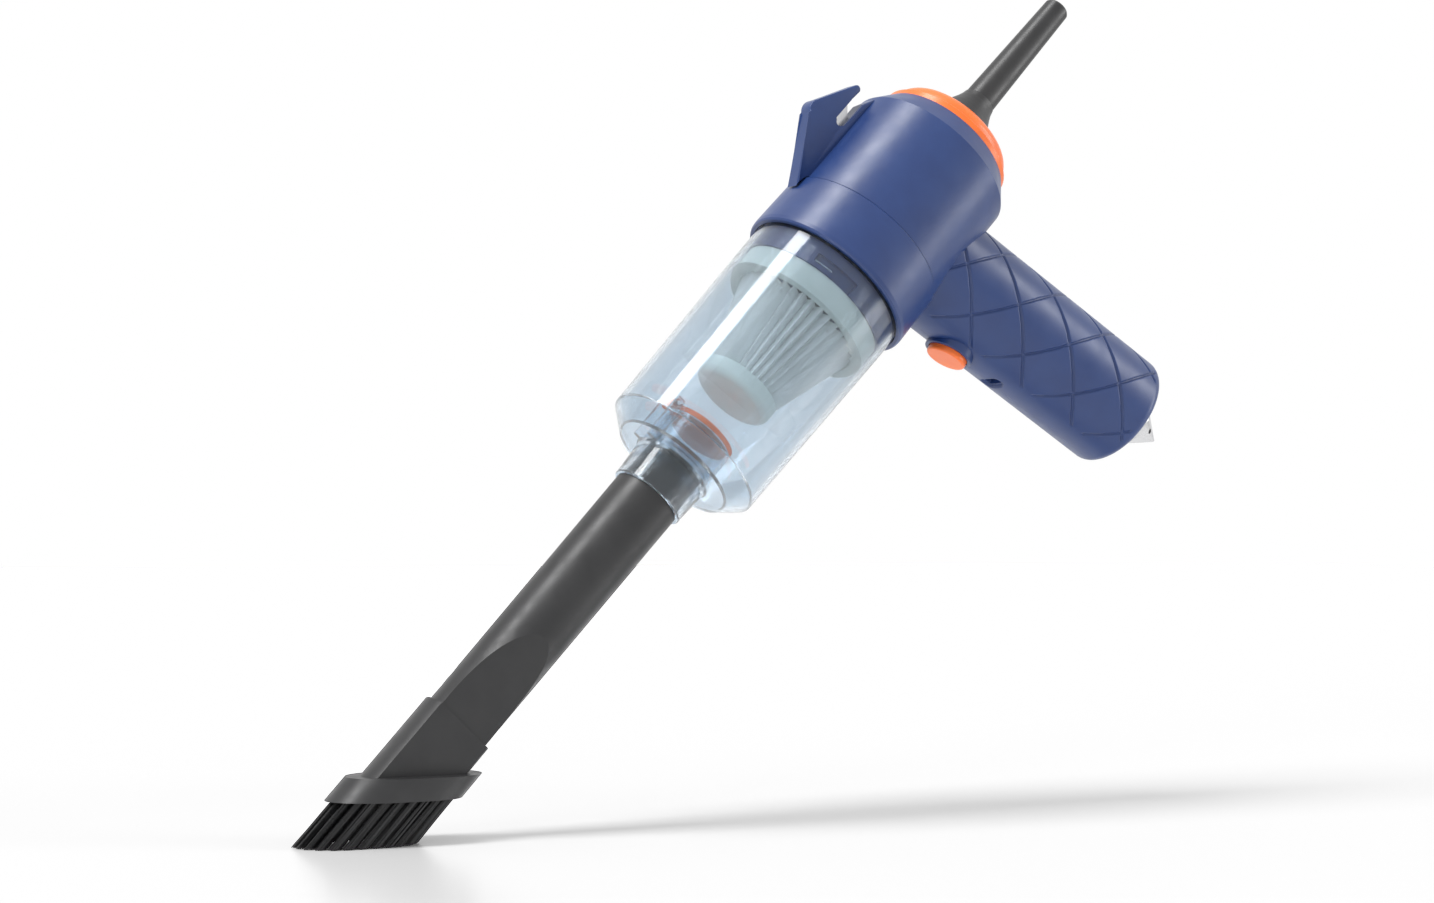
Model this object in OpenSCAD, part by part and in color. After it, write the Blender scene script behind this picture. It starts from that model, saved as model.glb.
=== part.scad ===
// Cordless hand vacuum and blower with a pistol grip, leaning on its brush.
// Every piece is drawn about the barrel axis: Z runs from the brush sole to the blower tip,
// X points from the barrel to the grip, and Y is across. stand() then leans it over.

/* [Stance] */
// Angle of the barrel above the floor when the brush sole lies flat
lean = 47; // [44:0.5:50]

/* [Brush] */
// Length of the skirt, square to the barrel
skirt_w = 39; // [37:0.5:50]
// Width of the skirt across the head
skirt_d = 31; // [28:0.5:38]
// Height of the skirt above the floor
skirt_z = 16.5; // [12:0.5:22]
// Height of the skirt itself
skirt_h = 8.5; // [6:0.5:12]
// How far the bristle ring is set in from the skirt
bristle_inset = 2; // [1.5:0.25:3]
// Thickness of the bristle ring
bristle_t = 4; // [3:0.25:4.5]
// Depth of the groove that holds the bristles
bristle_seat = 3.5; // [2:0.5:4]
// Where the sleeve ends, along the barrel
sleeve_top_z = 59.3; // [55:0.5:66]
// Wall of the sleeve
sleeve_wall = 1.4; // [1.2:0.1:1.6]

/* [Crevice tube] */
// Diameter of the tube where the brush fits
tube_d = 27.2; // [26:0.1:29]
// Diameter of the tube below the cup
tube_top_d = 28.4; // [27.6:0.1:29.4]
// Wall of the tube
tube_wall = 1.6; // [1.4:0.1:2]
// Thickness over the two flats
flat_t = 12.4; // [11:0.2:15]
// Radius of the scoop in which each flat ends
scoop_r = 110; // [90:1:130]
// Where the slanted mouth crosses the axis
mouth_z = 30; // [27:0.5:33]
// Diameter of the plug that enters the cup
plug_d = 26.4; // [25.6:0.1:26.8]
// Length of the plug
plug_len = 19; // [17:0.2:22]

/* [Dust cup] */
// Where the clear inlet collar starts, along the barrel
collar_z = 177; // [172:0.5:182]
// Length of the clear inlet collar
collar_len = 16.4; // [14:0.2:20]
// Radius of the flat floor of the cup
floor_r = 25.9; // [24:0.1:27]
// Radius of the cup above its chamfer
cup_low_r = 33.9; // [33:0.1:35]
// Height of the chamfer
cup_chamfer = 7.4; // [6:0.2:10]
// Outside radius of the cup at its rim
cup_r = 35.7; // [35.5:0.1:38]
// Wall of the cup
cup_wall = 2; // [1.8:0.1:2.2]
// How far the cup rim reaches into the front collar
cup_engage = 3.5; // [3:0.1:3.9]
// Height of the inlet pipe above the cup floor
pipe_h = 17.1; // [15:0.1:20]
// Radius of the inlet pipe outside
pipe_r = 15.3; // [15:0.1:16]
// Bore radius of the stop that the plug meets
pipe_bore_r = 12.2; // [11.5:0.1:12.4]

/* [Inlet flap] */
// Radius of the flap
flap_r = 15; // [14:0.1:15.2]
// Thickness of the flap
flap_t = 2.2; // [1.5:0.1:2.6]
// Radius of the hinge pin
flap_pin_r = 0.9; // [0.7:0.05:1]
// Width of the hinge knuckle
flap_knuckle_w = 8; // [6:0.5:9]

/* [Filter] */
// Where the frame ring starts, along the barrel
frame_z = 276; // [272:0.5:279]
// Outside radius of the pleats at the frame
pleat_r = 28; // [25:0.5:29]
// Outside radius of the pleats at the end cap
pleat_end_r = 17; // [14:0.5:19]
// Depth of a pleat at the frame
pleat_depth = 4.6; // [3:0.2:6]
// Number of pleats
pleats = 36; // [28:1:44]
// Length of the pleats
pleat_len = 37; // [34:0.5:40]
// Thickness of the end cap
filter_cap_t = 7.5; // [5:0.5:8]

/* [Barrel] */
// Where the front collar starts, along the barrel
lip_z = 296; // [293:0.5:299]
// Where the front collar meets the barrel
seam_z = 321.2; // [319:0.2:324]
// Radius of the front collar
front_r = 38.3; // [38:0.1:40.5]
// Radius of the barrel
barrel_r = 37.15; // [36.5:0.05:37.5]
// Wall of the barrel
barrel_wall = 2.5; // [2:0.1:2.6]
// Where the rear chamfer starts, along the barrel
shoulder_z = 369.5; // [366:0.5:372]
// Where the barrel ends
barrel_end_z = 379; // [377:0.5:382]
// Radius of the barrel at its rear edge
barrel_end_r = 30.8; // [30.5:0.1:32]
// How far the bayonet sleeve reaches into the cup
bayonet_len = 11; // [10:0.2:12]
// Twist that frees the cup, in degrees
bayonet_twist = 18; // [15:1:22]

/* [Motor and fan] */
// Radius of the fan
fan_r = 29; // [26:0.5:30]
// Blades of the fan
fan_blades = 9; // [7:1:12]
// Radius of the motor can
motor_r = 17; // [15:0.5:18]
// Length of the motor can
motor_len = 38; // [34:1:40]
// Radius of the motor shaft
shaft_r = 1.6; // [1.2:0.1:2]

/* [Outlet and blower tube] */
// Radius of the rear ring
ring_r = 30.4; // [29:0.1:30.6]
// Where the rear ring ends
ring_end_z = 389; // [387:0.5:392]
// Radius of the cone plug that sits in the rear ring
cone_plug_r = 17.6; // [16:0.1:18.5]
// Where the cone ends
cone_end_z = 407.6; // [404:0.2:412]
// Radius of the blower tube at the cone
blower_r = 6.9; // [6.4:0.1:7.2]
// Radius of the blower tube at its tip
blower_tip_r = 5.6; // [5.2:0.1:6]
// Wall of the blower tube
blower_wall = 1.4; // [1.2:0.1:1.6]
// Where the blower tube ends
tip_z = 467.3; // [455:0.5:480]

/* [Belt cutter] */
// Thickness of the hook
hook_t = 7.4; // [6.4:0.2:8.4]
// Width of the belt slot
slot_w = 4.8; // [4.5:0.1:5.2]
// Thickness of the blade
blade_t = 0.8; // [0.6:0.1:1]

/* [Grip] */
// Angle that the grip leans back from square to the barrel
grip_rake = 12; // [8:0.5:16]
// Where the grip axis crosses the barrel axis
grip_z = 333.3; // [331:0.1:336]
// Outside diameter of the grip
grip_d = 51; // [50:0.5:54]
// Wall of the grip
grip_wall = 2.4; // [2:0.1:2.8]
// Distance from the barrel axis to the end of the grip
grip_len = 147; // [146:0.5:156]
// Distance of the button from the barrel axis, along the grip
button_s = 58; // [57:0.5:61]
// Diameter of the button
button_d = 17.5; // [16:0.5:18]
// How far the button face stands from the grip axis
button_face = 29.5; // [28.9:0.1:30.5]
// Travel of the button
button_travel = 2; // [1.5:0.1:2.1]
// Distance of the charging socket from the barrel axis
socket_s = 83; // [81:0.5:86]
// Diameter of a battery cell
cell_d = 18.4; // [18:0.1:18.6]
// Length of a battery cell
cell_len = 65; // [60:0.5:65.5]

/* [Window breaker] */
// Radius of the steel point at its base
point_r = 10; // [8:0.5:11]
// Length of the steel point outside the grip
point_len = 22.3; // [18:0.1:25]

/* [Hidden] */
$fn = 96;

run_fit = 0.06;     // radial clearance of pieces that slide or turn in each other
seat_gap = 0.1;     // gap between fixed pieces that seat on each other
free_gap = 0.35;    // gap between curved faces that move past each other
far = 200;          // size of cutting blocks

tube_r = tube_d / 2;
tube_top_r = tube_top_d / 2;
plug_r = plug_d / 2;
plug_wall = 1.6;
sleeve_gap = 0.1;
sleeve_r = tube_r + sleeve_gap + sleeve_wall;
flat_h = flat_t / 2;
straight_z = sleeve_top_z + 4;          // the tube is parallel up to here

floor_z = collar_z + collar_len;
cup_bottom_in = floor_z + 2.2;
chamfer_z = floor_z + cup_chamfer;
cup_straight_z = lip_z - bayonet_len - 1;
cup_top_z = lip_z + cup_engage;
cup_in_r = cup_r - cup_wall;
pipe_top_z = floor_z + pipe_h;
plug_top_z = collar_z + plug_len;
stop_z = plug_top_z + 0.2;
stop_t = 1.8;
pipe_wall = 1.6;
flap_z = pipe_top_z + 0.2;
hinge_x = -(pipe_r + 2.2);
hinge_z = flap_z + 0.9;
knuckle_r = flap_pin_r + 1;
ear_t = 2.5;
ear_w = 3.4;
ear_y = flap_knuckle_w / 2 + 0.3 + ear_t / 2;

web_z = lip_z + 4;
web_t = 3;
bayonet_z = lip_z - bayonet_len;
bayonet_r = cup_in_r - 0.5;
bayonet_in_r = bayonet_r - 2.7;
lug_z = bayonet_z + 2.6;
lug_h = 3;
lug_deg = 14;
lug_reach = 1.6;
lugs = 3;
seal_z = lip_z + 0.9;
seal_r = 1;
groove_r = cup_in_r - 2 * seal_r - seat_gap;
housing_in_r = barrel_r - barrel_wall;
tenon_r = housing_in_r - seat_gap;
tenon_in_r = tenon_r - 1.35;
tenon_len = 6;
rim_step = 0.6;         // chamfer of the collar's rear edge

frame_in_r = pleat_r - 1.4;
filter_end_z = frame_z - pleat_len;

shroud_z = web_z + web_t + 0.2;
shroud_t = 1.2;
fan_z = shroud_z + shroud_t + 0.8;
fan_h = 9;
mount_z = fan_z + fan_h + 0.9;
mount_t = 3;
motor_z = mount_z + mount_t;
motor_end_z = motor_z + motor_len;
can_wall = 1.2;
bearing_r = 4.8;
bearing_t = 3;
shaft_z = fan_z - 0.6;
shaft_end_z = motor_end_z + 1.2;

ring_seat_r = barrel_end_r - barrel_wall;
ring_plug_r = ring_seat_r - seat_gap;
ring_seat_z = barrel_end_z + 0.05;
cone_base_z = ring_seat_z - 2;
cone_wall = 1.8;
cone_end_r = blower_r + 0.4;
blower_foot_z = cone_end_z - 13;

grip_r = grip_d / 2;
grip_in_r = grip_r - grip_wall;
neck_r = grip_in_r - seat_gap;
neck_wall = 2.3;
neck_end = 45;
end_wall = 3;
end_round = 5;
boss_r = button_d / 2 + 1.85;
boss_top = grip_r + 1.4;
button_r = button_d / 2;
boss_foot = 18.7;
flange_t = 1.5;
flange_r = button_r + 1.3;
board_x = 12;
board_t = 1.6;
board_w = 24;
board_s = [48, 92];
switch_w = 7;
switch_h = 5;
switch_x = board_x + board_t;
plunger_r = 1.7;
plunger_len = 4.5;
plunger_x = 16.2;
stem_r = 2.2;
socket_w = 9;
socket_d = 3.3;
socket_h = 8.2;
cell_x = -4;
cell_gap = 0.3;
cell_s = 71;
holder_t = 2.7;
link_t = 0.3;
nut_r = 5.6;
nut_t = 3.2;
stud_r = 3;
screw_r = 1.35;
screw_head_r = 2.7;
screw_head_h = 2.4;
screw_seat_y = 11;
screw_boss_r = 3.1;
screws = [[17.6, 102], [17.6, 136.5], [-18.4, 63], [-18.4, 136.5]];

navy = [0.13, 0.22, 0.46];
orange = [0.96, 0.42, 0.14];
black = [0.1, 0.1, 0.11];
smoke = [0.45, 0.55, 0.62, 0.45];
paper = [0.86, 0.88, 0.85];
steel = [0.75, 0.75, 0.76];

// ---- shared shapes -------------------------------------------------------------

// Leans the barrel over until the brush sole is level.
module stand() {
    rotate([0, 90 - lean, 0]) children();
}

// Frame of the grip: Z along it, X towards the front of it.
module at_grip() {
    translate([0, 0, grip_z]) rotate([0, 90 - grip_rake, 0]) children();
}

// Frame of the button: Z out of the grip's front at a distance s along it.
module at_front(s) {
    at_grip() translate([0, 0, s]) rotate([0, 90, 0]) children();
}

// Everything below the level plane that crosses the barrel axis at z.
module below_level(z) {
    translate([0, 0, z]) rotate([0, lean - 90, 0])
        translate([-far / 2, -far / 2, -far]) cube(far);
}

// Everything above that plane.
module above_level(z) {
    translate([0, 0, z]) rotate([0, lean - 90, 0])
        translate([-far / 2, -far / 2, 0]) cube(far);
}

function level_z(height) = height / sin(lean);

function arc(cx, cy, r, from, to, steps = 8) =
    [for (i = [0:steps]) [cx + r * cos(from + (to - from) * i / steps),
                          cy + r * sin(from + (to - from) * i / steps)]];

module turned(points) {
    rotate_extrude() polygon(points);
}

// A ring between two radii.
module ring(inner, outer, z, h) {
    translate([0, 0, z]) difference() {
        cylinder(r = outer, h = h);
        translate([0, 0, -1]) cylinder(r = inner, h = h + 2);
    }
}

// A sector of such a ring, from one angle to another.
module sector(inner, outer, z, h, from, to) {
    translate([0, 0, z]) rotate([0, 0, from])
        rotate_extrude(angle = to - from) translate([inner, 0]) square([outer - inner, h]);
}

module oblong(w, d) {
    square([w - d, d], center = true);
    for (side = [-1, 1]) translate([side * (w - d) / 2, 0]) circle(d = d);
}

module oblong_prism(w, d) {
    translate([0, 0, -20]) linear_extrude(height = 110) oblong(w, d);
}

// The space between the two flats of the tube, each of which ends in a scoop; inset moves them towards the axis.
module between_flats(inset) {
    low = flat_h - inset;
    rotate([90, 0, 90]) linear_extrude(height = 60, center = true) difference() {
        translate([-30, -60]) square([60, 60 + far + 60]);
        for (side = [-1, 1]) {
            translate([side * (flat_h + scoop_r), straight_z]) circle(r = scoop_r + inset);
            translate([side * (low + 20) - 20, -61]) square([40, 61 + straight_z]);
        }
    }
}

// The two straight flats of the brush sleeve.
module straight_flats(half) {
    for (side = [0, 1]) mirror([0, side, 0])
        translate([-40, half, -60]) cube([80, 40, 200]);
}

// ---- brush ---------------------------------------------------------------------

module brush_head() {
    skirt_low = level_z(skirt_z);
    skirt_top = level_z(skirt_z + skirt_h);
    color(black) stand() difference() {
        union() {
            difference() {
                oblong_prism(skirt_w, skirt_d);
                below_level(skirt_low);
                above_level(skirt_top);
            }
            difference() {
                translate([0, 0, skirt_low - 30]) cylinder(r = sleeve_r, h = sleeve_top_z - skirt_low + 30);
                straight_flats(flat_h + sleeve_gap + sleeve_wall);
                below_level(skirt_low + 2);
            }
        }
        // pocket of the tube
        difference() {
            translate([0, 0, -30]) cylinder(r = tube_r + sleeve_gap, h = 120);
            straight_flats(flat_h + sleeve_gap);
            below_level(mouth_z - 0.2);
        }
        // air passage
        difference() {
            translate([0, 0, -30]) cylinder(r = tube_r - tube_wall, h = 120);
            straight_flats(flat_h - tube_wall);
        }
        // groove of the bristles
        difference() {
            oblong_prism(skirt_w - 2 * bristle_inset + 2 * seat_gap, skirt_d - 2 * bristle_inset + 2 * seat_gap);
            oblong_prism(skirt_w - 2 * bristle_inset - 2 * bristle_t - 2 * seat_gap,
                         skirt_d - 2 * bristle_inset - 2 * bristle_t - 2 * seat_gap);
            above_level(skirt_low + level_z(bristle_seat));
        }
    }
}

module bristle_ring() {
    color(black) stand() difference() {
        oblong_prism(skirt_w - 2 * bristle_inset, skirt_d - 2 * bristle_inset);
        oblong_prism(skirt_w - 2 * bristle_inset - 2 * bristle_t, skirt_d - 2 * bristle_inset - 2 * bristle_t);
        below_level(0);
        above_level(level_z(skirt_z + bristle_seat) - 0.1);
    }
}

// ---- crevice tube --------------------------------------------------------------

module crevice_tube() {
    color(black) stand() difference() {
        intersection() {
            turned([[0, 0], [tube_r, 0], [tube_r, straight_z], [tube_top_r, collar_z - seat_gap],
                    [plug_r - run_fit, collar_z - seat_gap], [plug_r - run_fit, plug_top_z], [0, plug_top_z]]);
            between_flats(0);
        }
        below_level(mouth_z);
        intersection() {
            turned([[0, -1], [tube_r - tube_wall, -1], [tube_r - tube_wall, straight_z],
                    [plug_r - plug_wall, collar_z], [plug_r - plug_wall, plug_top_z + 1], [0, plug_top_z + 1]]);
            between_flats(tube_wall);
        }
    }
}

// ---- dust cup ------------------------------------------------------------------

module dust_cup() {
    color(smoke) stand() difference() {
        union() {
            turned([[plug_r, collar_z], [plug_r + 2.1, collar_z], [plug_r + 2.5, collar_z + 0.5],
                    [plug_r + 2.5, collar_z + 3], [plug_r + 3.4, floor_z - 1], [plug_r + 4.2, floor_z],
                    [floor_r, floor_z], [cup_low_r, chamfer_z], [cup_r, cup_straight_z], [cup_r, cup_top_z],
                    [cup_in_r, cup_top_z], [cup_in_r, cup_straight_z],
                    [cup_low_r - cup_wall, chamfer_z + 1.1], [floor_r - 0.8, cup_bottom_in],
                    [pipe_r, cup_bottom_in], [pipe_r, pipe_top_z], [pipe_r - pipe_wall, pipe_top_z],
                    [pipe_r - pipe_wall, stop_z + stop_t], [pipe_bore_r, stop_z + stop_t],
                    [pipe_bore_r, stop_z], [plug_r, stop_z]]);
            for (i = [0:lugs - 1])
                sector(cup_in_r - lug_reach, cup_in_r + 0.4, lug_z, lug_h,
                       i * 360 / lugs - lug_deg / 2, i * 360 / lugs + lug_deg / 2);
            // ears of the flap hinge
            for (side = [-1, 1])
                translate([hinge_x - ear_w / 2, side * ear_y - ear_t / 2, cup_bottom_in - 1]) {
                    cube([ear_w, ear_t, hinge_z - cup_bottom_in + 3]);
                    cube([ear_w / 2 - hinge_x - pipe_r + 1, ear_t, pipe_top_z - cup_bottom_in]);
                }
        }
        translate([hinge_x, 0, hinge_z]) rotate([90, 0, 0])
            cylinder(r = flap_pin_r + 0.02, h = 2 * flap_knuckle_w, center = true);
        translate([0, 0, collar_z - 1]) cylinder(r = pipe_bore_r, h = pipe_top_z - collar_z + 2);
    }
}

module inlet_flap() {
    color(orange) stand() difference() {
        union() {
            translate([0, 0, flap_z]) cylinder(r = flap_r, h = flap_t);
            translate([hinge_x, -flap_knuckle_w / 2, flap_z])
                cube([flap_r - pipe_r - hinge_x - 8, flap_knuckle_w, flap_t]);
            translate([hinge_x, 0, hinge_z]) rotate([90, 0, 0])
                cylinder(r = knuckle_r, h = flap_knuckle_w, center = true);
        }
        translate([hinge_x, 0, hinge_z]) rotate([90, 0, 0])
            cylinder(r = flap_pin_r + run_fit, h = flap_knuckle_w + 2, center = true);
    }
}

module flap_pin() {
    color(steel) stand() translate([hinge_x, 0, hinge_z]) rotate([90, 0, 0])
        cylinder(r = flap_pin_r, h = flap_knuckle_w + 5, center = true);
}

// ---- filter --------------------------------------------------------------------

module filter_frame() {
    color(paper) stand() union() {
        ring(frame_in_r, cup_in_r - 1.2, frame_z, bayonet_z - frame_z - seat_gap);
        ring(bayonet_in_r - 2, bayonet_in_r - seat_gap, frame_z + 2, bayonet_z - frame_z + 6);
    }
}

module filter_gasket() {
    color(black) stand() ring(pleat_r + 0.4, cup_in_r - 0.9, frame_z - 1, 1);
}

function pleat_ring(r, depth) =
    [for (i = [0:2 * pleats - 1])
        let (rr = i % 2 == 0 ? r : r - depth) [rr * cos(180 * i / pleats), rr * sin(180 * i / pleats)]];

module pleated_filter() {
    wall = 1;
    color(paper) stand() translate([0, 0, frame_z]) mirror([0, 0, 1])
        linear_extrude(height = pleat_len, scale = pleat_end_r / pleat_r) difference() {
            polygon(pleat_ring(pleat_r, pleat_depth));
            polygon(pleat_ring(pleat_r - wall * 2, pleat_depth));
        }
}

module filter_cap() {
    round_r = 3;
    color(paper) stand()
        turned(concat([[0, filter_end_z - filter_cap_t]],
                      arc(pleat_end_r - round_r + 0.4, filter_end_z - filter_cap_t + round_r, round_r, -90, 0),
                      [[pleat_end_r + 0.4, filter_end_z - 0.02], [0, filter_end_z - 0.02]]));
}

// ---- front collar and seal -----------------------------------------------------

module front_collar() {
    slot_gap = 1;
    color(navy) stand() difference() {
        turned([[cup_r + free_gap, lip_z], [front_r - 0.8, lip_z], [front_r - 0.2, lip_z + 0.8],
                [front_r, lip_z + 2.4], [barrel_r + rim_step, seam_z - 0.1 - rim_step], [barrel_r, seam_z - 0.1],
                [tenon_r, seam_z - 0.1], [tenon_r, seam_z + tenon_len], [tenon_in_r, seam_z + tenon_len],
                [tenon_in_r, web_z + web_t], [bayonet_in_r, web_z + web_t], [bayonet_in_r, bayonet_z],
                [bayonet_r, bayonet_z], [bayonet_r, web_z], [cup_r + free_gap, web_z]]);
        // groove of the seal
        ring(groove_r, bayonet_r + 1, seal_z - seal_r - seat_gap, 2 * (seal_r + seat_gap));
        // bayonet slots: an entry, and a run along which the cup is twisted
        for (i = [0:lugs - 1]) rotate([0, 0, i * 360 / lugs]) {
            sector(bayonet_r - 1.7, bayonet_r + 1, lug_z - 0.4, lug_h + 0.8,
                   -lug_deg / 2 - slot_gap, lug_deg / 2 + bayonet_twist + slot_gap);
            sector(bayonet_r - 1.6, bayonet_r + 1, bayonet_z - 1, lug_z - bayonet_z + 1,
                   bayonet_twist - lug_deg / 2 - slot_gap, bayonet_twist + lug_deg / 2 + slot_gap / 2);
        }
    }
}

module cup_seal() {
    color(black) stand() translate([0, 0, seal_z])
        rotate_extrude() translate([cup_in_r - 0.03 - seal_r, 0]) circle(r = seal_r, $fn = 32);
}

// ---- fan and motor -------------------------------------------------------------

module intake_grille() {
    grille_r = bayonet_in_r - seat_gap;
    color(black) stand() {
        for (i = [0:3])
            ring(grille_r * (i + 1) / 4 - 1.5, grille_r * (i + 1) / 4, web_z, 1.5);
        difference() {
            for (i = [0:5]) rotate([0, 0, 60 * i])
                translate([3, -0.8, web_z]) cube([grille_r - 4, 1.6, 1.5]);
            translate([0, 0, web_z - 1]) cylinder(r = 5, h = 4);
        }
    }
}

module fan_shroud() {
    color(black) stand() ring(13, tenon_in_r - seat_gap, shroud_z, shroud_t);
}

module impeller() {
    hub_r = 6;
    blade_w = 1.2;
    color(black) stand() difference() {
        union() {
            translate([0, 0, fan_z + fan_h - 1.4]) cylinder(r = fan_r, h = 1.4);
            translate([0, 0, fan_z]) cylinder(r = hub_r, h = fan_h);
            intersection() {
                for (i = [0:fan_blades - 1]) rotate([0, 0, i * 360 / fan_blades])
                    translate([0, hub_r - 2, fan_z + 0.5]) cube([fan_r + 2, blade_w, fan_h - 1]);
                translate([0, 0, fan_z]) cylinder(r = fan_r, h = fan_h);
            }
        }
        translate([0, 0, fan_z - 1]) cylinder(r = shaft_r, h = fan_h + 2);
    }
}

module motor_shaft() {
    color(steel) stand() translate([0, 0, shaft_z]) cylinder(r = shaft_r, h = shaft_end_z - shaft_z);
}

module motor_mount() {
    vents = 12;
    cup_len = 11;
    color(black) stand() difference() {
        union() {
            translate([0, 0, mount_z]) cylinder(r = tenon_in_r - seat_gap, h = mount_t);
            translate([0, 0, mount_z]) cylinder(r = motor_r + 2.2, h = mount_t + cup_len);
        }
        translate([0, 0, motor_z]) cylinder(r = motor_r + seat_gap, h = cup_len + 1);
        translate([0, 0, mount_z - 1]) cylinder(r = bearing_r + 0.2, h = mount_t + 2);
        for (i = [0:vents - 1])
            sector(motor_r + 4, tenon_in_r - 2, mount_z - 1, mount_t + 2,
                   i * 360 / vents - 10, i * 360 / vents + 10);
    }
}

module motor_can() {
    color(steel) stand() difference() {
        translate([0, 0, motor_z]) cylinder(r = motor_r, h = motor_len - 4);
        translate([0, 0, motor_z + bearing_t]) cylinder(r = motor_r - can_wall, h = motor_len);
        translate([0, 0, motor_z - 1]) cylinder(r = bearing_r + 0.02, h = bearing_t + 2);
    }
}

module motor_magnets() {
    color([0.3, 0.3, 0.32]) stand()
        for (side = [0, 180])
            sector(11.6, motor_r - can_wall - 0.02, motor_z + 7, motor_len - 17, side - 72, side + 72);
}

module motor_armature() {
    slots = 5;
    color([0.6, 0.4, 0.25]) stand() difference() {
        translate([0, 0, motor_z + 7]) cylinder(r = 11, h = motor_len - 17);
        for (i = [0:slots - 1]) rotate([0, 0, i * 360 / slots])
            translate([6, -1, motor_z + 5]) cube([8, 2, motor_len]);
        translate([0, 0, motor_z]) cylinder(r = shaft_r, h = motor_len);
    }
}

module motor_bearings() {
    color(steel) stand()
        for (z = [motor_z, motor_end_z - 4 + 0.6])
            ring(shaft_r + run_fit, bearing_r, z, bearing_t);
}

module motor_end_bell() {
    bell_z = motor_end_z - 4;
    color(black) stand() difference() {
        union() {
            translate([0, 0, bell_z]) cylinder(r = motor_r, h = 4);
            ring(motor_r - can_wall - 2, motor_r - can_wall - 0.05, bell_z - 3, 4);
        }
        translate([0, 0, bell_z - 1]) cylinder(r = bearing_r + 0.02, h = 4.6);
        translate([0, 0, bell_z]) cylinder(r = shaft_r + 0.6, h = 5);
    }
}

module motor_leads() {
    lead_s = 18.4;
    color([0.7, 0.1, 0.1]) stand() at_grip()
        for (side = [-1, 1]) translate([board_x - 1.2, side * 3, lead_s])
            cylinder(r = 1, h = board_s[0] + 4 - lead_s, $fn = 24);
}

// ---- barrel --------------------------------------------------------------------

module barrel_housing() {
    color(navy) stand() difference() {
        union() {
            turned([[0, seam_z], [barrel_r, seam_z], [barrel_r, shoulder_z], [barrel_end_r, barrel_end_z],
                    [0, barrel_end_z]]);
            at_grip() translate([0, 0, 20]) cylinder(r = neck_r, h = neck_end - 20);
        }
        // inside of the barrel
        turned([[0, seam_z - 1], [housing_in_r, seam_z - 1], [housing_in_r, shoulder_z - 1],
                [ring_seat_r, barrel_end_z - 1.2], [ring_seat_r, barrel_end_z + 1], [0, barrel_end_z + 1]]);
        // inside of the neck outside the barrel, the way for the leads, and the front collar
        difference() {
            at_grip() translate([0, 0, 20]) cylinder(r = neck_r - neck_wall, h = neck_end);
            translate([0, 0, seam_z - 20]) cylinder(r = barrel_r, h = 100);
        }
        at_grip() cylinder(r = 14, h = neck_end);
        translate([0, 0, lip_z]) cylinder(r = front_r + 0.05, h = seam_z - lip_z);
    }
}

module outlet_ring() {
    color(orange) stand()
        turned(concat([[cone_plug_r + run_fit, barrel_end_z - 3], [ring_plug_r, barrel_end_z - 3],
                       [ring_plug_r, ring_seat_z], [ring_r, ring_seat_z], [ring_r, ring_seat_z + 2.6],
                       [ring_r - 0.6, ring_seat_z + 3.1], [ring_r - 1.8, ring_seat_z + 3.4]],
                      arc(ring_r - 8.4, ring_end_z - 6.4, 6.4, 12, 90),
                      [[cone_plug_r + run_fit, ring_end_z]]));
}

// A flare that starts steep and ends parallel to the axis.
function flare(r0, r1, z0, z1, steps = 8) =
    [for (i = [0:steps]) let (u = i / steps) [r1 + (r0 - r1) * pow(1 - u, 1.4), z0 + (z1 - z0) * u]];

module outlet_cone() {
    color(black) stand()
        turned(concat([[cone_plug_r - cone_wall, cone_base_z], [cone_plug_r, cone_base_z],
                       [cone_plug_r, ring_end_z + 0.1]],
                      flare(cone_plug_r - 0.6, cone_end_r, ring_end_z + 0.3, cone_end_z),
                      [[blower_r + run_fit, cone_end_z], [blower_r + run_fit, blower_foot_z - 0.3],
                       [cone_plug_r - cone_wall - 5, ring_end_z - 1]]));
}

module blower_tube() {
    color(black) stand()
        turned(concat([[blower_r - blower_wall, blower_foot_z], [blower_r, blower_foot_z],
                       [blower_r, cone_end_z + 1.5], [blower_tip_r, tip_z - 0.8], [blower_tip_r - 0.5, tip_z],
                       [blower_tip_r - blower_wall + 0.2, tip_z],
                       [blower_tip_r - blower_wall, tip_z - 1], [blower_tip_r - blower_wall, tip_z - 7]]));
}

// ---- belt cutter ---------------------------------------------------------------

hook_foot = front_r + 0.25;
slot_low = barrel_r + 2.75;
slot_top = slot_low + slot_w;
slot_end_z = 348.6;

// Outline of the hook: x is the height above the barrel axis, y the place along it.
function hook_outline() = concat(
    [[hook_foot, 314.5]],
    arc(52.2, 344.8, 4.6, -60, 40),
    arc(45.9, 364.6, 1.7, 28, 170, 6),
    [[slot_top, 358.4]],
    arc(slot_low + slot_w / 2, slot_end_z, slot_w / 2, 360, 180),
    [[slot_low, 361.5], [barrel_r + 0.1, 367.6], [barrel_r - 4, 367.6], [barrel_r - 4, seam_z + 0.1],
     [hook_foot, seam_z + 0.1]]);

function blade_outline(grow) = [
    [38.6 - grow, 346.5 - grow], [46.3 + grow, 346.5 - grow],
    [46.3 + grow, 361 + grow], [38.6 - grow, 352.9 + grow]];

module on_ridge(t) {
    mirror([1, 0, 0]) rotate([90, 0, 0]) linear_extrude(height = t, center = true) children();
}

module cutter_hook() {
    color(navy) stand() difference() {
        on_ridge(hook_t) polygon(hook_outline());
        on_ridge(blade_t + 0.1) polygon(blade_outline(0.05));
        translate([0, 0, seam_z - 10]) cylinder(r = barrel_r + 0.02, h = 80);
    }
}

module cutter_blade() {
    color(steel) stand() on_ridge(blade_t) polygon(blade_outline(0));
}

// ---- grip ----------------------------------------------------------------------

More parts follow.
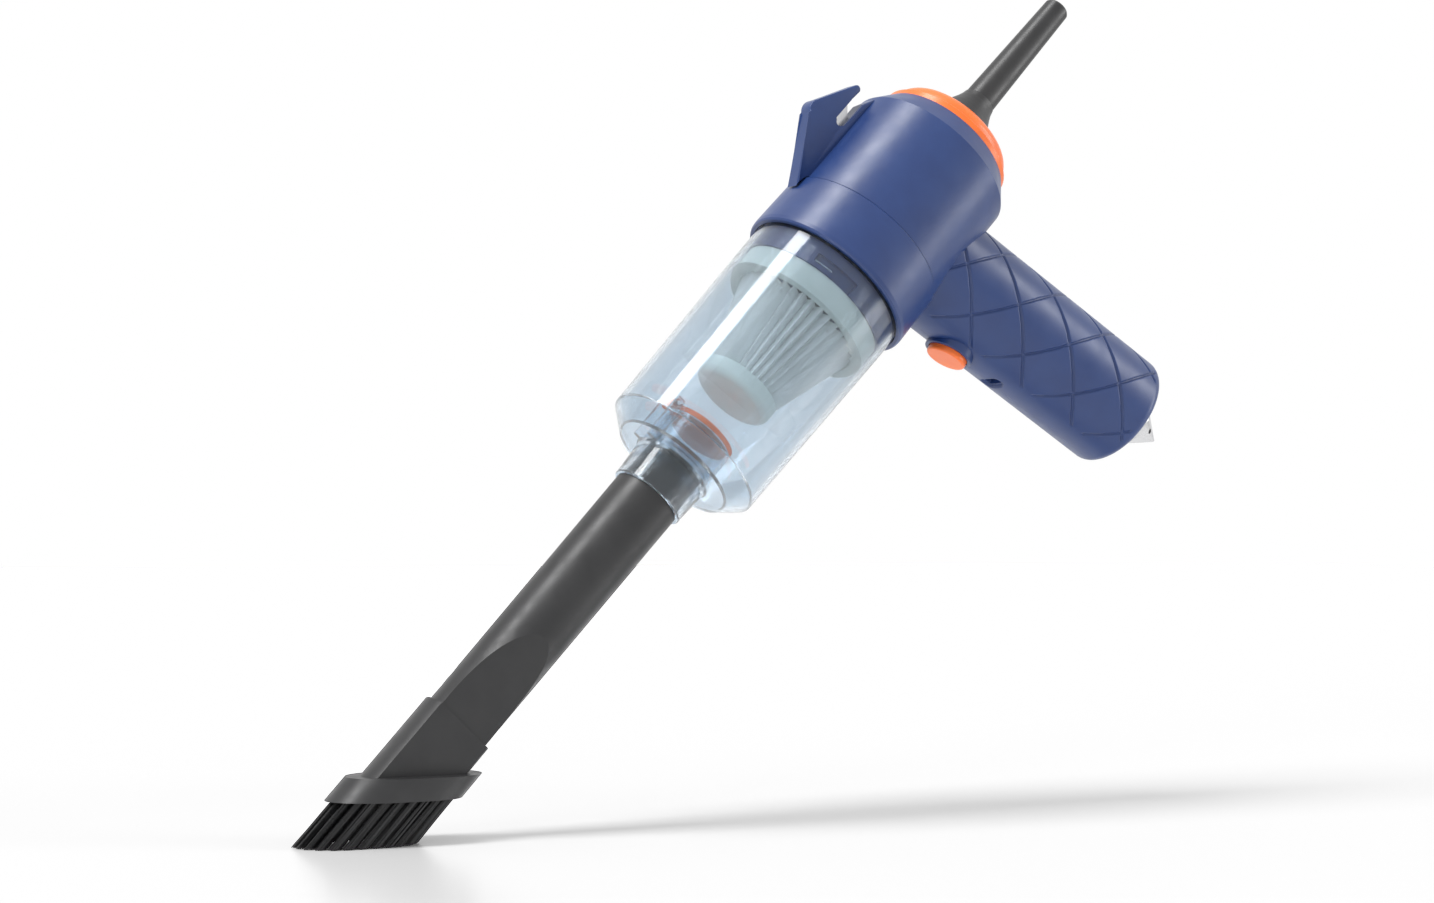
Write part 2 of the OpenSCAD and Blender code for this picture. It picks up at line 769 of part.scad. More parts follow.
module grip_shell(side) {
    half_y = side < 0 ? -far : 0.02;
    intersection() {
        difference() {
            union() {
                at_grip() difference() {
                    turned(concat([[0, 20], [grip_r, 20]],
                                  arc(grip_r - end_round, grip_len - end_round, end_round, 0, 75, 6),
                                  [[0, grip_len]]));
                    cylinder(r = grip_in_r, h = grip_len - end_wall);
                }
                intersection() {
                    union() {
                        at_front(button_s) translate([0, 0, boss_foot]) cylinder(r = boss_r, h = boss_top - boss_foot);
                        for (p = screws) at_grip() translate([p[0], 0, p[1]]) rotate([90, 0, 0])
                            cylinder(r = screw_boss_r, h = 2 * grip_r, center = true);
                    }
                    at_grip() union() {
                        cylinder(r = grip_r - 0.3, h = grip_len - 1);
                        translate([0, -boss_r - 1, 20]) cube([60, 2 * boss_r + 2, 100]);
                    }
                }
            }
            // bore and pocket of the button
            at_front(button_s) {
                translate([0, 0, 10]) cylinder(r = button_r + run_fit, h = 30);
                translate([0, 0, 5]) cylinder(r = flange_r + free_gap, h = boss_foot - 5);
            }
            // charging port
            at_front(socket_s) {
                translate([-socket_d / 2 - 0.3, -socket_w / 2 - 0.3, 10]) cube([socket_d + 0.6, socket_w + 0.6, 30]);
                translate([0, 0, grip_r - 1.4]) linear_extrude(height = 10) rotate([0, 0, 90]) oblong(12.4, 6.4);
            }
            // screws: a clear hole and a sunk head on the right, a pilot hole on the left
            for (p = screws) at_grip() translate([p[0], 0, p[1]]) rotate([-90, 0, 0]) {
                translate([0, 0, -10]) cylinder(r = screw_r + 0.05, h = 40, $fn = 32);
                translate([0, 0, screw_seat_y]) cylinder(r = screw_head_r + 0.2, h = 40, $fn = 32);
            }
            // end hole of the window breaker
            at_grip() translate([0, 0, grip_len - end_wall - 1]) cylinder(r = stud_r + seat_gap, h = end_wall + 3);
            // saddle on the barrel
            translate([0, 0, seam_z - 40]) cylinder(r = barrel_r + 0.05, h = 120);
            translate([0, 0, lip_z - 10]) cylinder(r = front_r + 0.05, h = seam_z - lip_z + 10);
        }
        translate([-far, half_y, 0]) cube([2 * far, far, 3 * far]);
    }
}

module grip_left() {
    color(navy) stand() grip_shell(-1);
}

module grip_right() {
    color(navy) stand() grip_shell(1);
}

module grip_screws() {
    color(steel) stand() at_grip()
        for (p = screws) translate([p[0], 0, p[1]]) rotate([-90, 0, 0]) difference() {
            union() {
                translate([0, 0, -9.5]) cylinder(r = screw_r, h = screw_seat_y + 9.6, $fn = 32);
                translate([0, 0, screw_seat_y + 0.02]) cylinder(r = screw_head_r, h = screw_head_h, $fn = 32);
            }
            translate([0, 0, screw_seat_y + 1]) cylinder(r = 1.5, h = 5, $fn = 6);
        }
}

module power_button() {
    inner_r = 6.9;
    crown = 1;
    color(orange) stand() at_front(button_s) difference() {
        union() {
            turned(concat([[0, boss_foot - 1], [button_r, boss_foot - 1]],
                          arc(button_r - crown, button_face - crown, crown, 0, 90, 6),
                          [[0, button_face]]));
            translate([0, 0, boss_foot - seat_gap - flange_t]) cylinder(r = flange_r, h = flange_t);
        }
        difference() {
            translate([0, 0, 5]) cylinder(r = inner_r, h = button_face - 2 - 5);
            translate([0, 0, plunger_x + plunger_len]) cylinder(r = stem_r, h = 10);
        }
    }
}

module switch_plunger() {
    color(black) stand() at_front(button_s) translate([0, 0, plunger_x]) cylinder(r = plunger_r, h = plunger_len);
}

module power_switch() {
    color(steel) stand() at_front(button_s) difference() {
        translate([-switch_w / 2, -switch_w / 2, switch_x]) cube([switch_w, switch_w, switch_h]);
        translate([0, 0, switch_x + 0.5]) cylinder(r = plunger_r + run_fit, h = switch_h);
    }
}

module circuit_board() {
    color([0.1, 0.4, 0.2]) stand() at_grip()
        translate([board_x, -board_w / 2, board_s[0]]) cube([board_t, board_w, board_s[1] - board_s[0]]);
}

module charging_socket() {
    shell = 0.5;
    color(steel) stand() at_front(socket_s) difference() {
        translate([-socket_d / 2, -socket_w / 2, switch_x]) cube([socket_d, socket_w, socket_h]);
        translate([-socket_d / 2 + shell, -socket_w / 2 + shell, switch_x + 1.5])
            cube([socket_d - 2 * shell, socket_w - 2 * shell, socket_h]);
    }
}

module battery_cells() {
    color([0.2, 0.5, 0.3]) stand() at_grip()
        for (side = [-1, 1]) translate([cell_x, side * (cell_d + cell_gap) / 2, cell_s])
            cylinder(d = cell_d, h = cell_len);
}

module cell_links() {
    color(steel) stand() at_grip()
        for (s = [cell_s - link_t, cell_s + cell_len])
            translate([cell_x - 3.5, -cell_d / 2 - 4, s]) cube([7, cell_d + 8, link_t]);
}

module cell_holders() {
    color(black) stand() at_grip()
        for (s = [cell_s - link_t - holder_t, cell_s + cell_len + link_t])
            translate([0, 0, s]) intersection() {
                cylinder(r = grip_in_r - 0.2, h = holder_t);
                translate([cell_x - cell_d / 2 - 0.5, -far / 2, -1]) cube([cell_d + 1, far, holder_t + 2]);
            }
}

// ---- window breaker ------------------------------------------------------------

module breaker_point() {
    base = 8.5;
    nose_r = 0.5;
    eye_r = 1.1;
    color(steel) stand() at_grip() difference() {
        union() {
            turned([[0, grip_len + 0.05], [point_r - 0.4, grip_len + 0.05], [point_r, grip_len + 0.5],
                    [point_r, grip_len + base], [nose_r, grip_len + point_len], [0, grip_len + point_len]]);
            translate([0, 0, grip_len - end_wall - nut_t]) cylinder(r = stud_r, h = end_wall + nut_t + 1);
        }
        translate([0, 0, grip_len + base + 6]) rotate([90, 0, 0]) cylinder(r = eye_r, h = 40, center = true);
    }
}

module breaker_nut() {
    color(steel) stand() at_grip() translate([0, 0, grip_len - end_wall - nut_t]) difference() {
        cylinder(r = nut_r, h = nut_t - 0.05, $fn = 6);
        translate([0, 0, -1]) cylinder(r = stud_r + 0.02, h = nut_t + 2, $fn = 48);
    }
}

brush_head();
bristle_ring();
crevice_tube();
dust_cup();
inlet_flap();
flap_pin();
filter_gasket();
filter_frame();
pleated_filter();
filter_cap();
cup_seal();
front_collar();
intake_grille();
fan_shroud();
impeller();
motor_shaft();
motor_mount();
motor_can();
motor_magnets();
motor_armature();
motor_bearings();
motor_end_bell();
motor_leads();
barrel_housing();
outlet_ring();
outlet_cone();
blower_tube();
cutter_hook();
cutter_blade();
grip_left();
grip_right();
grip_screws();
power_button();
switch_plunger();
power_switch();
circuit_board();
charging_socket();
battery_cells();
cell_links();
cell_holders();
breaker_point();
breaker_nut();
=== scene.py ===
"""A cordless hand vacuum on its brush, looked at from in front of its right side."""

import math
import random

import bmesh
import bpy
from mathutils import Matrix, Vector


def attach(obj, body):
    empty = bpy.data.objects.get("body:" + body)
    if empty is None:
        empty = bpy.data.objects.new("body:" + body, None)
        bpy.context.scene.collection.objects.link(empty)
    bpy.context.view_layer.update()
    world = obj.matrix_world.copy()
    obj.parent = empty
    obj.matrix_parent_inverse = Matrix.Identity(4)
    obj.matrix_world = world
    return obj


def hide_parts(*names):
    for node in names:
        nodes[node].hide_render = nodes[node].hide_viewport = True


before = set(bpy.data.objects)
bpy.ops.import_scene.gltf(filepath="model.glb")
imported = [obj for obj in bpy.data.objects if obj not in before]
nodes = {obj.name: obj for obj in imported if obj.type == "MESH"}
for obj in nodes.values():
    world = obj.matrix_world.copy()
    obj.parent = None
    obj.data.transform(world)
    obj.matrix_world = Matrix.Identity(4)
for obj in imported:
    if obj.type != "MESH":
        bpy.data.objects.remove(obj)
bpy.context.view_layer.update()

# ---- places ------------------------------------------------------------------

LEAN = math.radians(47)
RAKE = math.radians(12)
MM = 0.001
# local frame: Z along the barrel from the brush sole, X towards the grip, millimetres
TO_ROW = Matrix.Rotation(math.pi / 2 - LEAN, 4, "Y") @ Matrix.Scale(MM, 4)
GRIP_Z = 333.3
# grip frame: Z along the grip, X out of its front
GRIP = Matrix.Translation((0, 0, GRIP_Z)) @ Matrix.Rotation(math.pi / 2 - RAKE, 4, "Y")


def add(name, mesh, matrix, body, material, replaced=()):
    """Adds a mesh drawn in millimetres in a local frame as a piece of the object."""
    mesh.transform(TO_ROW @ matrix)
    mesh.update()
    obj = bpy.data.objects.new(name, mesh)
    bpy.context.scene.collection.objects.link(obj)
    mesh.materials.append(material)
    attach(obj, body)
    if replaced:
        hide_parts(*replaced)


def to_mesh(bm, name, smooth=True, angle=35):
    """Turns a bmesh into a mesh, with its edges sharp past an angle in degrees."""
    bmesh.ops.recalc_face_normals(bm, faces=bm.faces)
    mesh = bpy.data.meshes.new(name)
    bm.to_mesh(mesh)
    bm.free()
    if smooth:
        mesh.shade_smooth()
        mesh.set_sharp_from_angle(angle=math.radians(angle))
    return mesh


def lathe(name, profile, steps=96):
    """A ring about Z from a closed outline of (radius, z) points that stays off the axis."""
    bm = bmesh.new()
    rings = []
    for r, z in profile:
        rings.append([bm.verts.new((r * math.cos(2 * math.pi * i / steps),
                                    r * math.sin(2 * math.pi * i / steps), z)) for i in range(steps)])
    for a, b in zip(rings, rings[1:] + rings[:1]):
        for i in range(steps):
            j = (i + 1) % steps
            bm.faces.new((a[i], b[i], b[j], a[j]))
    return to_mesh(bm, name)


def arc(cx, cy, r, start, end, steps=8):
    """Points along an arc, from one angle to another in degrees."""
    return [(cx + r * math.cos(math.radians(start + (end - start) * i / steps)),
             cy + r * math.sin(math.radians(start + (end - start) * i / steps))) for i in range(steps + 1)]


# ---- materials ---------------------------------------------------------------


def ramp(nt, low, high):
    """A colour ramp over the middle of a noise, between two colours or two grey levels."""
    node = nt.nodes.new("ShaderNodeValToRGB")
    for element, position, value in zip(node.color_ramp.elements, (0.35, 0.65), (low, high)):
        element.position = position
        element.color = (*value, 1) if isinstance(value, tuple) else (value, value, value, 1)
    return node


def noise(nt, scale, detail=4.0, stretch=None):
    """Noise in object space, drawn out along a turned axis where stretch gives (angle, scale)."""
    coords = nt.nodes.new("ShaderNodeTexCoord")
    node = nt.nodes.new("ShaderNodeTexNoise")
    node.inputs["Scale"].default_value = scale
    node.inputs["Detail"].default_value = detail
    if stretch:
        mapping = nt.nodes.new("ShaderNodeMapping")
        mapping.inputs["Rotation"].default_value = (0, stretch[0], 0)
        mapping.inputs["Scale"].default_value = stretch[1]
        nt.links.new(coords.outputs["Object"], mapping.inputs["Vector"])
        nt.links.new(mapping.outputs["Vector"], node.inputs["Vector"])
    else:
        nt.links.new(coords.outputs["Object"], node.inputs["Vector"])
    return node


def material(name, low, high, rough=(0.35, 0.5), patch=60, grain=2500, bump=0.05, depth=0.00005,
             stretch=None, **sockets):
    """A surface whose colour and roughness drift in patches, over a fine grain."""
    mat = bpy.data.materials.new(name)
    mat.use_nodes = True
    nt = mat.node_tree
    bsdf = nt.nodes["Principled BSDF"]
    patches = noise(nt, patch)
    colour = ramp(nt, low, high)
    nt.links.new(patches.outputs["Fac"], colour.inputs["Fac"])
    nt.links.new(colour.outputs["Color"], bsdf.inputs["Base Color"])
    smudges = noise(nt, patch * 2.3, 6, stretch)
    shine = ramp(nt, rough[0], rough[1])
    nt.links.new(smudges.outputs["Fac"], shine.inputs["Fac"])
    nt.links.new(shine.outputs["Color"], bsdf.inputs["Roughness"])
    fine = noise(nt, grain, 3, stretch)
    raised = nt.nodes.new("ShaderNodeBump")
    raised.inputs["Strength"].default_value = bump
    raised.inputs["Distance"].default_value = depth
    nt.links.new(fine.outputs["Fac"], raised.inputs["Height"])
    nt.links.new(raised.outputs["Normal"], bsdf.inputs["Normal"])
    for key, value in sockets.items():
        bsdf.inputs[key.replace("_", " ")].default_value = value
    return mat


# grinding marks run along the barrel
ALONG = (-(math.pi / 2 - LEAN), (1, 1, 0.05))
NAVY = material("navy_satin", (0.014, 0.037, 0.140), (0.017, 0.044, 0.158), (0.30, 0.38), bump=0.2)
BLACK = material("black_satin", (0.012, 0.012, 0.013), (0.017, 0.017, 0.018), (0.36, 0.46), bump=0.25)
BRUSH = material("brush_black", (0.012, 0.012, 0.013), (0.018, 0.018, 0.019), (0.34, 0.46), bump=0.25)
ORANGE = material("orange_semi_gloss", (0.88, 0.16, 0.025), (0.94, 0.19, 0.03), (0.28, 0.36), bump=0.08)
FLAP = material("orange_rubber", (0.85, 0.15, 0.03), (0.92, 0.19, 0.04), (0.5, 0.6), bump=0.2)
CLEAR = material("smoky_clear", (0.66, 0.75, 0.83), (0.69, 0.78, 0.86), (0.015, 0.03), bump=0.02,
                 Transmission_Weight=1.0, IOR=1.5, Alpha=0.88)
PALE = material("pale_green_grey", (0.62, 0.68, 0.63), (0.68, 0.74, 0.69), (0.4, 0.5))
PAPER = material("filter_fleece", (0.72, 0.74, 0.72), (0.82, 0.84, 0.82), (0.8, 0.9), grain=1200, bump=0.5,
                 depth=0.0001)
STEEL = material("ground_steel", (0.52, 0.52, 0.53), (0.62, 0.62, 0.63), (0.22, 0.34), bump=0.15,
                 stretch=ALONG, Metallic=1.0)
DARK_STEEL = material("plated_steel", (0.35, 0.36, 0.38), (0.42, 0.43, 0.45), (0.3, 0.4), Metallic=1.0)
SEAL = material("seal_rubber", (0.012, 0.012, 0.012), (0.02, 0.02, 0.02), (0.55, 0.7), bump=0.3)
COPPER = material("windings", (0.40, 0.17, 0.07), (0.50, 0.22, 0.09), (0.3, 0.4), Metallic=1.0)
BOARD = material("coated_board", (0.02, 0.12, 0.04), (0.03, 0.16, 0.06), (0.3, 0.4))
CELL = material("cell_sleeve", (0.03, 0.14, 0.08), (0.05, 0.18, 0.10), (0.25, 0.35))
WIRE = material("wire_red", (0.45, 0.03, 0.02), (0.55, 0.04, 0.03), (0.4, 0.5))
NYLON = material("black_nylon", (0.010, 0.010, 0.011), (0.016, 0.016, 0.017), (0.22, 0.32), bump=0.1)

LOOKS = {
    BRUSH: ["brush_head"],
    BLACK: ["crevice_tube", "intake_grille", "fan_shroud", "impeller", "motor_mount", "motor_end_bell",
            "outlet_cone", "blower_tube", "switch_plunger", "cell_holders"],
    NAVY: ["front_collar", "barrel_housing", "cutter_hook", "grip_left", "grip_right"],
    ORANGE: ["outlet_ring", "power_button"],
    CLEAR: ["dust_cup"],
    FLAP: ["inlet_flap"],
    SEAL: ["cup_seal"],
    PALE: ["filter_frame", "filter_cap", "filter_gasket"],
    PAPER: ["pleated_filter"],
    STEEL: ["breaker_point", "cutter_blade", "flap_pin", "grip_screws", "motor_shaft", "motor_bearings",
            "breaker_nut", "cell_links", "charging_socket", "power_switch"],
    DARK_STEEL: ["motor_can", "motor_magnets"],
    COPPER: ["motor_armature"],
    BOARD: ["circuit_board"],
    CELL: ["battery_cells"],
    WIRE: ["motor_leads"],
    NYLON: ["bristle_ring"],
}
for look, names in LOOKS.items():
    for name in names:
        nodes[name].data.materials.clear()
        nodes[name].data.materials.append(look)

# ---- bristles ----------------------------------------------------------------

# rings of tufts: width and depth of the oblong, number of tufts, and its start in tufts
TUFT_RINGS = ((32.6, 24.6, 24, 0.5), (28.6, 20.6, 20, 0.0))
TUFT_R = 1.15
TUFT_FIBRES = 44
FIBRE_R = (0.13, 0.17)
FIBRE_TAPER = 0.15
# height of the roots inside the head, and how far above the floor the tips may end
ROOT_HEIGHT = 19.0
TIP_LIFT = 0.5
# a tuft leans outwards, its fibres draw together, and each one strays
OUTWARD = 0.25
GATHER = 0.95
STRAY = 0.25


def oblong_point(w, d, t):
    """The point a share t of the way round an oblong, and its outward direction."""
    straight, r = w - d, d / 2
    round_len = math.pi * r
    length = t % 1 * 2 * (straight + round_len)
    for side in (1, -1):
        if length < straight:
            return side * (length - straight / 2), -side * r, 0.0, -side * 1.0
        length -= straight
        if length < round_len:
            a = -math.pi / 2 + length / r
            return (side * (straight / 2 + r * math.cos(a)), side * r * math.sin(a),
                    side * math.cos(a), side * math.sin(a))
        length -= round_len
    return straight / 2, -r, 0.0, -1.0


def level(x, height):
    """Place along the barrel where a line parallel to it, off by x, is at that height."""
    return (height + x * math.cos(LEAN)) / math.sin(LEAN)


def fibre(bm, root, tip, lift, thick):
    """A square fibre that curves from its root in the head to its tip near the floor."""
    rings = []
    for u in (0.0, 0.55, 1.0):
        x = root[0] + (tip[0] - root[0]) * u * u
        y = root[1] + (tip[1] - root[1]) * u * u
        z = level(x, ROOT_HEIGHT) * (1 - u) + level(x, lift) * u
        r = thick * (1 - FIBRE_TAPER * u)
        rings.append([bm.verts.new((x + r * math.cos(math.pi * (i + 0.5) / 2),
                                    y + r * math.sin(math.pi * (i + 0.5) / 2), z)) for i in range(4)])
    for p, q in zip(rings, rings[1:]):
        for i in range(4):
            bm.faces.new((p[i], p[(i + 1) % 4], q[(i + 1) % 4], q[i]))
    bm.faces.new(rings[-1])
    bm.faces.new(rings[0][::-1])


def tuft(bm, rng, cx, cy, nx, ny):
    """A tuft of fibres about a point, leaning along an outward direction."""
    for _ in range(TUFT_FIBRES):
        a = rng.uniform(0, 2 * math.pi)
        r = TUFT_R * math.sqrt(rng.uniform(0, 1))
        ox, oy = r * math.cos(a), r * math.sin(a)
        spread = GATHER + rng.uniform(-STRAY, STRAY)
        tip = (cx + ox * spread + nx * OUTWARD + rng.uniform(-STRAY, STRAY),
               cy + oy * spread + ny * OUTWARD + rng.uniform(-STRAY, STRAY))
        lift = rng.uniform(0, TIP_LIFT)
        fibre(bm, (cx + ox, cy + oy), tip, lift, rng.uniform(*FIBRE_R))


def bristles():
    """All the tufts, as one mesh."""
    rng = random.Random(7)
    bm = bmesh.new()
    for w, d, tufts, start in TUFT_RINGS:
        for k in range(tufts):
            tuft(bm, rng, *oblong_point(w, d, (k + start) / tufts))
    return to_mesh(bm, "bristle_tufts", smooth=False)


add("bristle_tufts", bristles(), Matrix(), "brush", NYLON, ["bristle_ring"])

# ---- grip --------------------------------------------------------------------

GRIP_R = 25.5
GRIP_LEN = 147.0
GRIP_ROUND = 4.0
# the skin starts inside the barrel, and its halves stop just short of the seam
SKIN_START = 20
SKIN_STEP = 0.36
SKIN_STEPS = 224
SEAM_GAP = 0.03
EYE_R = 3.2

# crossed spiral grooves: length of one turn, number of starts, half width and depth
LEAD = 152.0
STARTS = 5
PITCH = LEAD / STARTS
GROOVE_HALF = 0.62
GROOVE_DEPTH = 0.8
# the grooves cross at the side of the grip, this far along it
CROSS_S = 33.0
# they fade out beside the smooth front strip and at the end of the grip, each over a short way
STRIP_ANGLE = 25.5
STRIP_FADE = 1.5
GROOVE_END = 142.6
END_FADE = 0.8

# charging port: a shallow oblong with a rounded edge, and the socket's hole in its floor
SOCKET_S = 83.0
PORT_STRAIGHT = 3.0
PORT_R = 3.35
PORT_EDGE = 0.35
PORT_DEPTH = 1.3
SOCKET_HALF_W = 4.4
SOCKET_HALF_H = 1.65
SOCKET_DEPTH = 4.2

# screw holes: (out from the middle, along the grip), their radius and where their seats lie
SCREWS = ((17.6, 102), (17.6, 136.5), (-18.4, 63), (-18.4, 136.5))
SCREW_R = 2.9
SCREW_SEAT_Y = 13.4
SCREW_DEEPEST = 9.0

BUTTON_S = 58.0
BOSS_HOLE_R = 8.85
BOSS_R = 10.6
BOSS_FOOT = 19


def share(value):
    """The value, kept between 0 and 1."""
    return max(0.0, min(1.0, value))


def groove_depth(s, psi):
    """Depth of the grooves at a place along the grip and an angle from its front, in degrees."""
    edge = share((abs(psi) - STRIP_ANGLE) / STRIP_FADE) * share((GROOVE_END - s) / END_FADE)
    if edge <= 0:
        return 0.0
    depth = 0.0
    for hand in (1, -1):
        phase = (s - CROSS_S - hand * (psi - 90.0) * LEAD / 360.0) / PITCH
        off = abs(phase - round(phase)) * PITCH
        # measured square to the groove
        off *= math.sin(math.atan2(2 * math.pi * GRIP_R, LEAD))
        u = off / GROOVE_HALF
        if u < 1:
            depth = max(depth, GROOVE_DEPTH * (1 - u * u) ** 0.4)
    return depth * edge


def port_depth(s, psi):
    """Depth of the charging port."""
    along = s - SOCKET_S
    across = GRIP_R * math.radians(psi)
    if abs(across) < SOCKET_HALF_W and abs(along) < SOCKET_HALF_H:
        return SOCKET_DEPTH
    reach = math.hypot(max(0.0, abs(across) - PORT_STRAIGHT), along)
    return PORT_DEPTH * share((PORT_R - reach) / PORT_EDGE)


def screw_depth(s, psi):
    """Depth of the sunk screw holes, which are in the right half of the grip only."""
    x = GRIP_R * math.cos(math.radians(psi))
    for screw_x, screw_s in SCREWS:
        if math.hypot(x - screw_x, s - screw_s) < SCREW_R and 0 < psi < 180:
            return min(GRIP_R - math.hypot(screw_x, SCREW_SEAT_Y), SCREW_DEEPEST)
    return 0.0


def skin_point(side, r, a, s):
    """A point of the skin at a radius, an angle from the front and a place along the grip."""
    return r * math.cos(a), side * max(r * math.sin(a), SEAM_GAP), s


def grip_skin(side):
    """One half of the grip's outside, with its grooves, port and screw holes."""
    bm = bmesh.new()
    straight = GRIP_LEN - GRIP_ROUND
    places = [SKIN_START + SKIN_STEP * i for i in range(int((straight - SKIN_START) / SKIN_STEP) + 1)]
    places[-1] = straight
    rows = []
    for s in places:
        row = []
        for i in range(SKIN_STEPS + 1):
            psi = 180.0 * i / SKIN_STEPS
            r = GRIP_R - port_depth(s, psi)
            if 0 < i < SKIN_STEPS:
                r -= max(groove_depth(s, psi), screw_depth(s, psi) if side > 0 else 0)
            row.append(bm.verts.new(skin_point(side, r, math.radians(psi), s)))
        rows.append(row)
    # the rounded end, then its flat down to the window breaker
    end = [(GRIP_R - GRIP_ROUND + GRIP_ROUND * math.cos(math.radians(90 * k / 8)),
            straight + GRIP_ROUND * math.sin(math.radians(90 * k / 8))) for k in range(1, 8)]
    end += [(GRIP_R - GRIP_ROUND, GRIP_LEN), (EYE_R, GRIP_LEN)]
    for r, s in end:
        rows.append([bm.verts.new(skin_point(side, r, math.pi * i / SKIN_STEPS, s))
                     for i in range(SKIN_STEPS + 1)])
    for p, q in zip(rows, rows[1:]):
        for i in range(SKIN_STEPS):
            bm.faces.new((p[i], p[i + 1], q[i + 1], q[i]))
    return to_mesh(bm, "grip_skin", angle=60)


add("grip_skin_left", grip_skin(-1), GRIP, "housing", NAVY, ["grip_left"])
add("grip_skin_right", grip_skin(1), GRIP, "housing", NAVY, ["grip_right"])

FRONT = GRIP @ Matrix.Translation((0, 0, BUTTON_S)) @ Matrix.Rotation(math.pi / 2, 4, "Y")
boss_profile = [(BOSS_HOLE_R, BOSS_FOOT)]
boss_profile += arc(BOSS_HOLE_R + 0.3, 26.7, 0.3, 180, 90, 3)
boss_profile += arc(BOSS_R - 0.5, 26.5, 0.5, 90, 0, 4)
boss_profile += [(BOSS_R, BOSS_FOOT)]
add("button_boss", lathe("button_boss", boss_profile), FRONT, "housing", NAVY)

# ---- hook --------------------------------------------------------------------

BARREL_R = 37.15
SLOT_LOW = BARREL_R + 2.75
SLOT_TOP = SLOT_LOW + 4.8
# the hook's foot starts off the barrel, over the collar, and steps down to it
FOOT_X = BARREL_R + 1.45
FOOT_START = 314.5
FOOT_STEP = 321.4
FOOT_END = 367.6
HOOK_HALF = 3.7
HOOK_EDGE = 0.7


def hook_outline():
    """The hook from its side: a rising back, a blunt tip, and a slot down to the blade."""
    points = [(FOOT_X, FOOT_START)]
    points += arc(52.2, 344.8, 4.6, -60, 40, 8)
    points += arc(45.9, 364.6, 1.7, 28, 170, 6)
    points += [(SLOT_TOP, 358.4)]
    points += arc((SLOT_LOW + SLOT_TOP) / 2, 348.6, 2.4, 360, 180, 10)
    points += [(SLOT_LOW, 361.5), (BARREL_R + 0.1, FOOT_END), (BARREL_R - 1, FOOT_END)]
    points += [(BARREL_R - 1, FOOT_STEP), (FOOT_X, FOOT_STEP)]
    return points


def hook():
    """The hook's plate, with both its faces rounded over at the edge."""
    bm = bmesh.new()
    outline = hook_outline()
    low = [bm.verts.new((-x, -HOOK_HALF, z)) for x, z in outline]
    high = [bm.verts.new((-x, HOOK_HALF, z)) for x, z in outline]
    n = len(outline)
    caps = [bm.faces.new(low), bm.faces.new(high[::-1])]
    for i in range(n):
        bm.faces.new((low[i], low[(i + 1) % n], high[(i + 1) % n], high[i]))
    edges = [e for f in caps for e in f.edges]
    bmesh.ops.bevel(bm, geom=edges, offset=HOOK_EDGE, segments=3, profile=0.6, affect="EDGES")
    return to_mesh(bm, "hook_plate", angle=50)


add("hook_plate", hook(), Matrix(), "housing", NAVY, ["cutter_hook"])

# ---- stage -------------------------------------------------------------------

scene = bpy.context.scene
scene.view_settings.view_transform = "Standard"


def backdrop():
    """A soft world light that is plain white to the camera, in reflections and through the clear cup."""
    world = bpy.data.worlds.new("studio")
    scene.world = world
    world.use_nodes = True
    nt = world.node_tree
    background = nt.nodes["Background"]
    background.inputs["Color"].default_value = (1, 1, 1, 1)
    background.inputs["Strength"].default_value = 0.5
    white = nt.nodes.new("ShaderNodeBackground")
    white.inputs["Color"].default_value = (1, 1, 1, 1)
    white.inputs["Strength"].default_value = 1.0
    path = nt.nodes.new("ShaderNodeLightPath")
    seen = path.outputs["Is Camera Ray"]
    for ray in ("Is Transmission Ray", "Is Glossy Ray"):
        either = nt.nodes.new("ShaderNodeMath")
        either.operation = "MAXIMUM"
        nt.links.new(seen, either.inputs[0])
        nt.links.new(path.outputs[ray], either.inputs[1])
        seen = either.outputs["Value"]
    mix = nt.nodes.new("ShaderNodeMixShader")
    nt.links.new(seen, mix.inputs["Fac"])
    nt.links.new(background.outputs["Background"], mix.inputs[1])
    nt.links.new(white.outputs["Background"], mix.inputs[2])
    nt.links.new(mix.outputs["Shader"], nt.nodes["World Output"].inputs["Surface"])


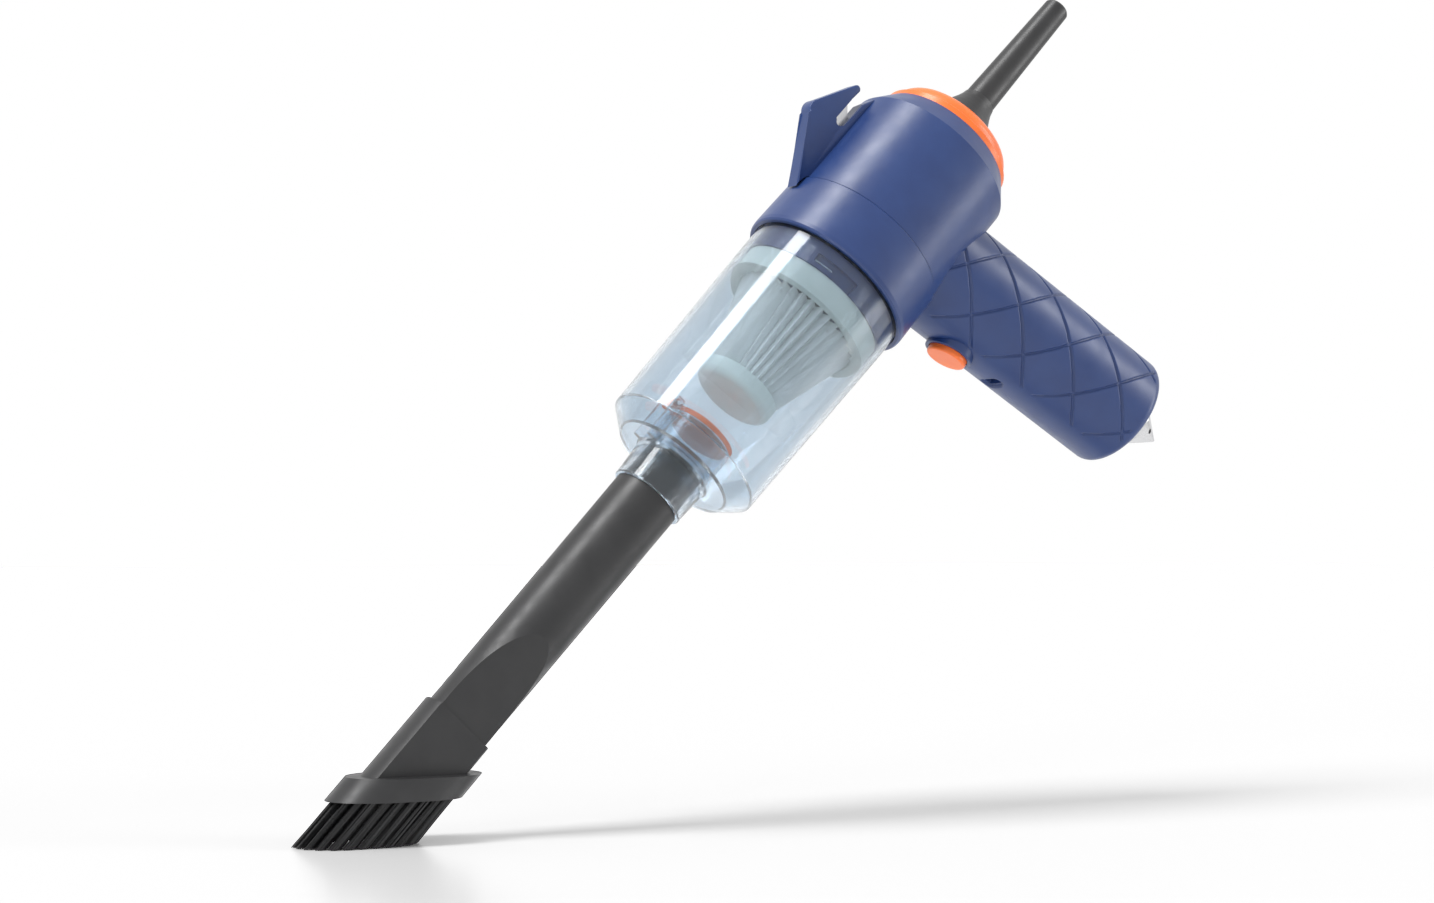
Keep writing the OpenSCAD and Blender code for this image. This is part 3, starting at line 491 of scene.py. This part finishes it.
def add_floor():
    """A floor that shows only the shadow and reflection that fall on it."""
    mat = bpy.data.materials.new("floor_white")
    mat.use_nodes = True
    bsdf = mat.node_tree.nodes["Principled BSDF"]
    bsdf.inputs["Base Color"].default_value = (0.95, 0.95, 0.95, 1)
    bsdf.inputs["Roughness"].default_value = 0.25
    bm = bmesh.new()
    bmesh.ops.create_grid(bm, x_segments=1, y_segments=1, size=4)
    mesh = bpy.data.meshes.new("floor")
    bm.to_mesh(mesh)
    bm.free()
    mesh.materials.append(mat)
    floor = bpy.data.objects.new("floor", mesh)
    floor.location = (0, 0, -0.0002)
    floor.is_shadow_catcher = True
    scene.collection.objects.link(floor)


backdrop()
add_floor()


def softbox(name, place, target, w, h, power, along=(0, 0, 1)):
    """A rectangular lamp at a place, facing a target, with its long side along a direction."""
    data = bpy.data.lights.new(name, "AREA")
    data.shape = "RECTANGLE"
    data.size = w
    data.size_y = h
    data.energy = power
    lamp = bpy.data.objects.new(name, data)
    away = (Vector(place) - Vector(target)).normalized()
    long_side = Vector(along)
    long_side = (long_side - away * long_side.dot(away)).normalized()
    axes = Matrix((long_side.cross(away), long_side, away)).transposed()
    lamp.matrix_world = Matrix.Translation(place) @ axes.to_4x4()
    scene.collection.objects.link(lamp)


AIM = (0.19, 0, 0.2)
softbox("key", (-0.43, -0.05, 1.42), AIM, 0.42, 1.4, 21, (0.839, 0.013, 0.416))
softbox("fill", (-1.3, -0.9, 0.5), AIM, 0.5, 0.8, 5)
softbox("side", (1.25, -0.55, 0.45), AIM, 0.35, 1.0, 6)

# ---- camera ------------------------------------------------------------------

CAMERA_PLACE = (-0.377, -0.938, 0.127)
CAMERA_LENS = 67.8
# the camera's right and up, and a last small turn about its up
CAMERA_RIGHT = (0.870, -0.493, 0.0085)
CAMERA_UP = (-0.017, -0.013, 1.0)
CAMERA_TURN = 0.0015


def add_camera():
    """The camera, level with the lower half of the tool and in front of its right side."""
    data = bpy.data.cameras.new("camera")
    data.sensor_width = 36
    data.lens = CAMERA_LENS
    data.clip_start = 0.05
    camera = bpy.data.objects.new("camera", data)
    right = Vector(CAMERA_RIGHT).normalized()
    up = Vector(CAMERA_UP)
    up = (up - right * up.dot(right)).normalized()
    axes = Matrix((right, up, right.cross(up))).transposed() @ Matrix.Rotation(CAMERA_TURN, 3, "Y")
    camera.matrix_world = Matrix.Translation(CAMERA_PLACE) @ axes.to_4x4()
    scene.collection.objects.link(camera)
    scene.camera = camera


add_camera()
